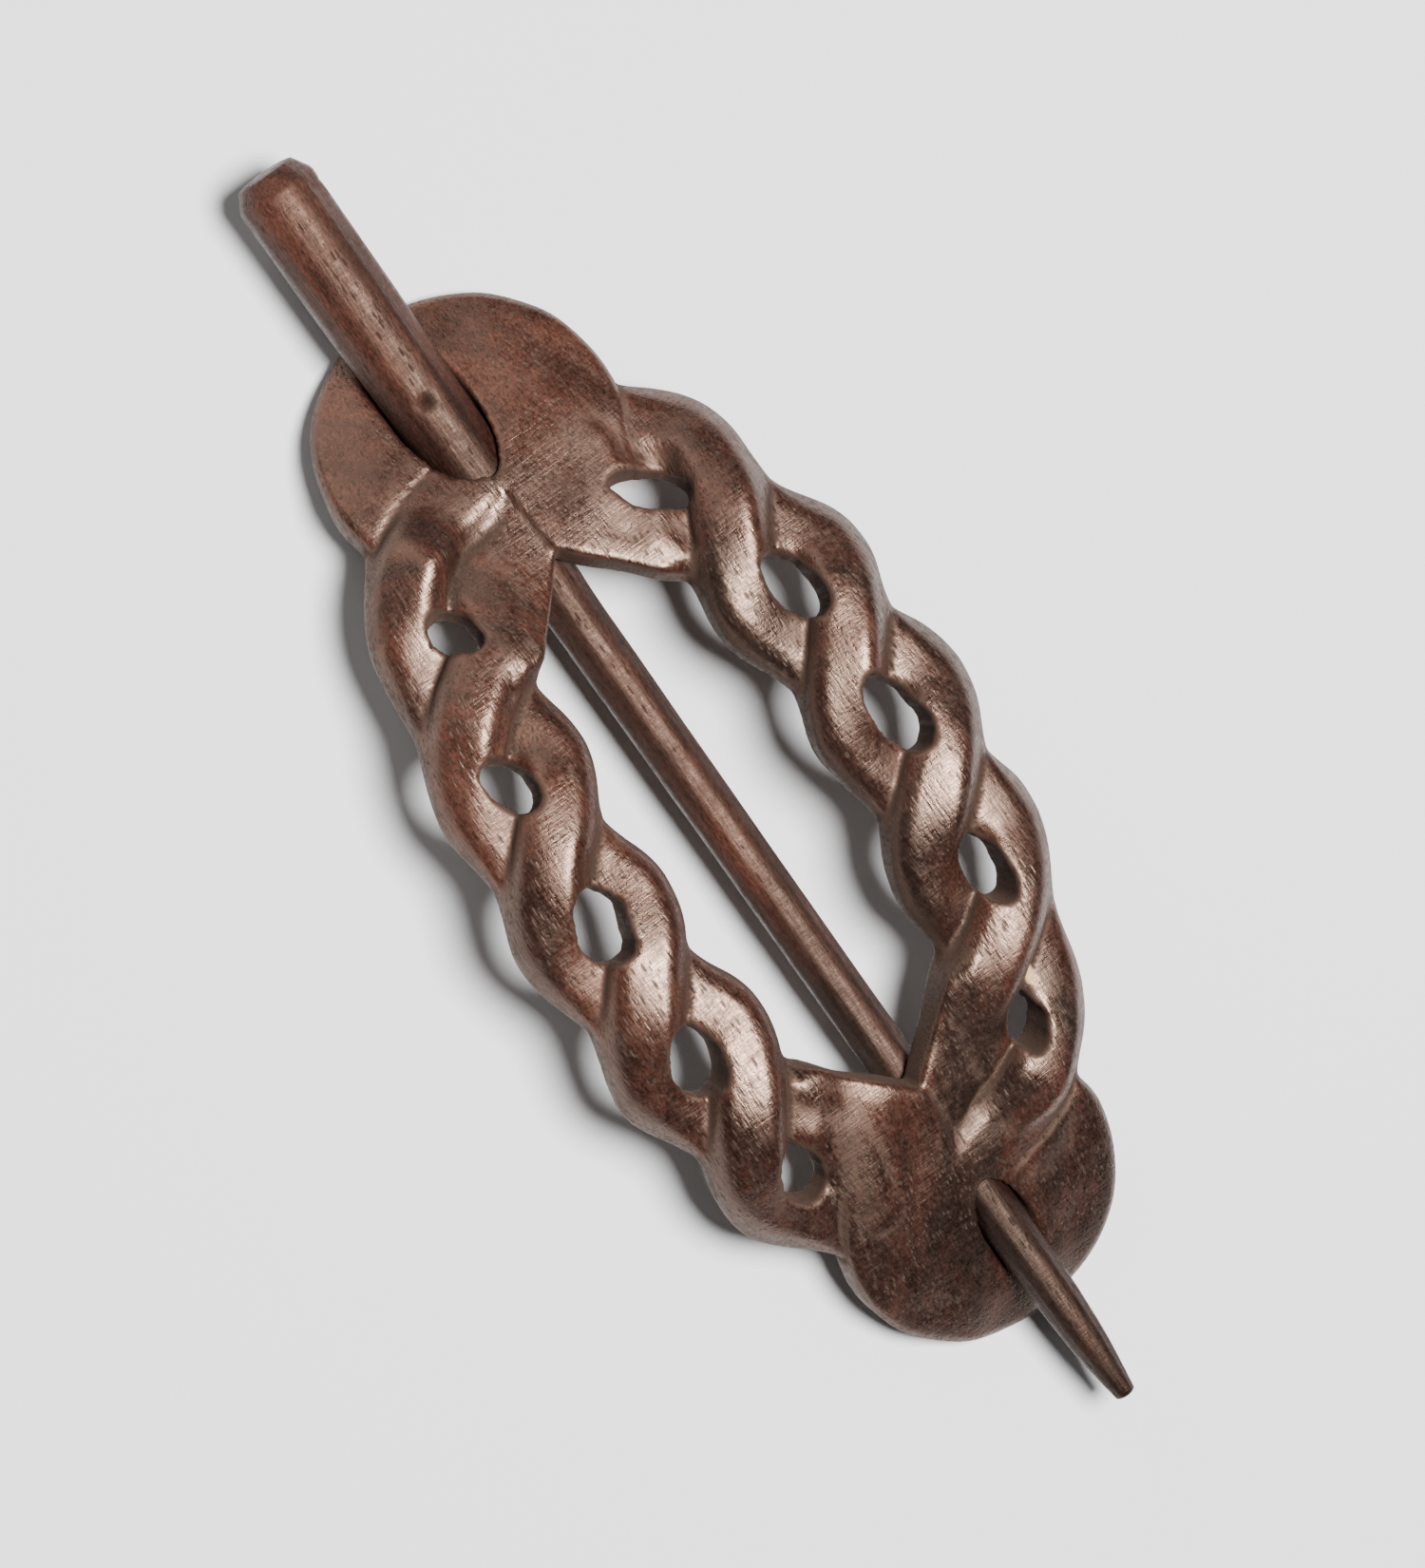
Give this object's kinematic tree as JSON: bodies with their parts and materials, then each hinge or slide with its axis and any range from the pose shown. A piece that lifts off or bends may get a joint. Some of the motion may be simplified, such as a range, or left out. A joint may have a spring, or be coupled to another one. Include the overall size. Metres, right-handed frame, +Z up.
{
  "type": "barrette",
  "caption": "Arched wooden hair slide with rope-twist carved sides round a long opening, and a tapered stick that slides through the holes in its end lobes.",
  "frame": {"origin": "on the resting plane, under the middle of the whole slide with its stick pushed in", "axes": "+X along the frame towards the stick's pointed end, +Z up out of the convex carved face"},
  "size_m": [0.1448, 0.0522, 0.0202],
  "materials": {
    "frame_wood": "satin, waxed dark rosewood",
    "stick_wood": "satin, waxed dark rosewood"
  },
  "bodies": {
    "frame": {"carved_frame": "frame_wood"},
    "stick": {"hair_stick": "stick_wood"}
  },
  "joints": [
    {"name": "stick_slide", "type": "slide", "parent": "frame", "child": "stick", "axis": [-0.9997, -0.0236, 0], "range_m": [0, 0.127]}
  ]
}
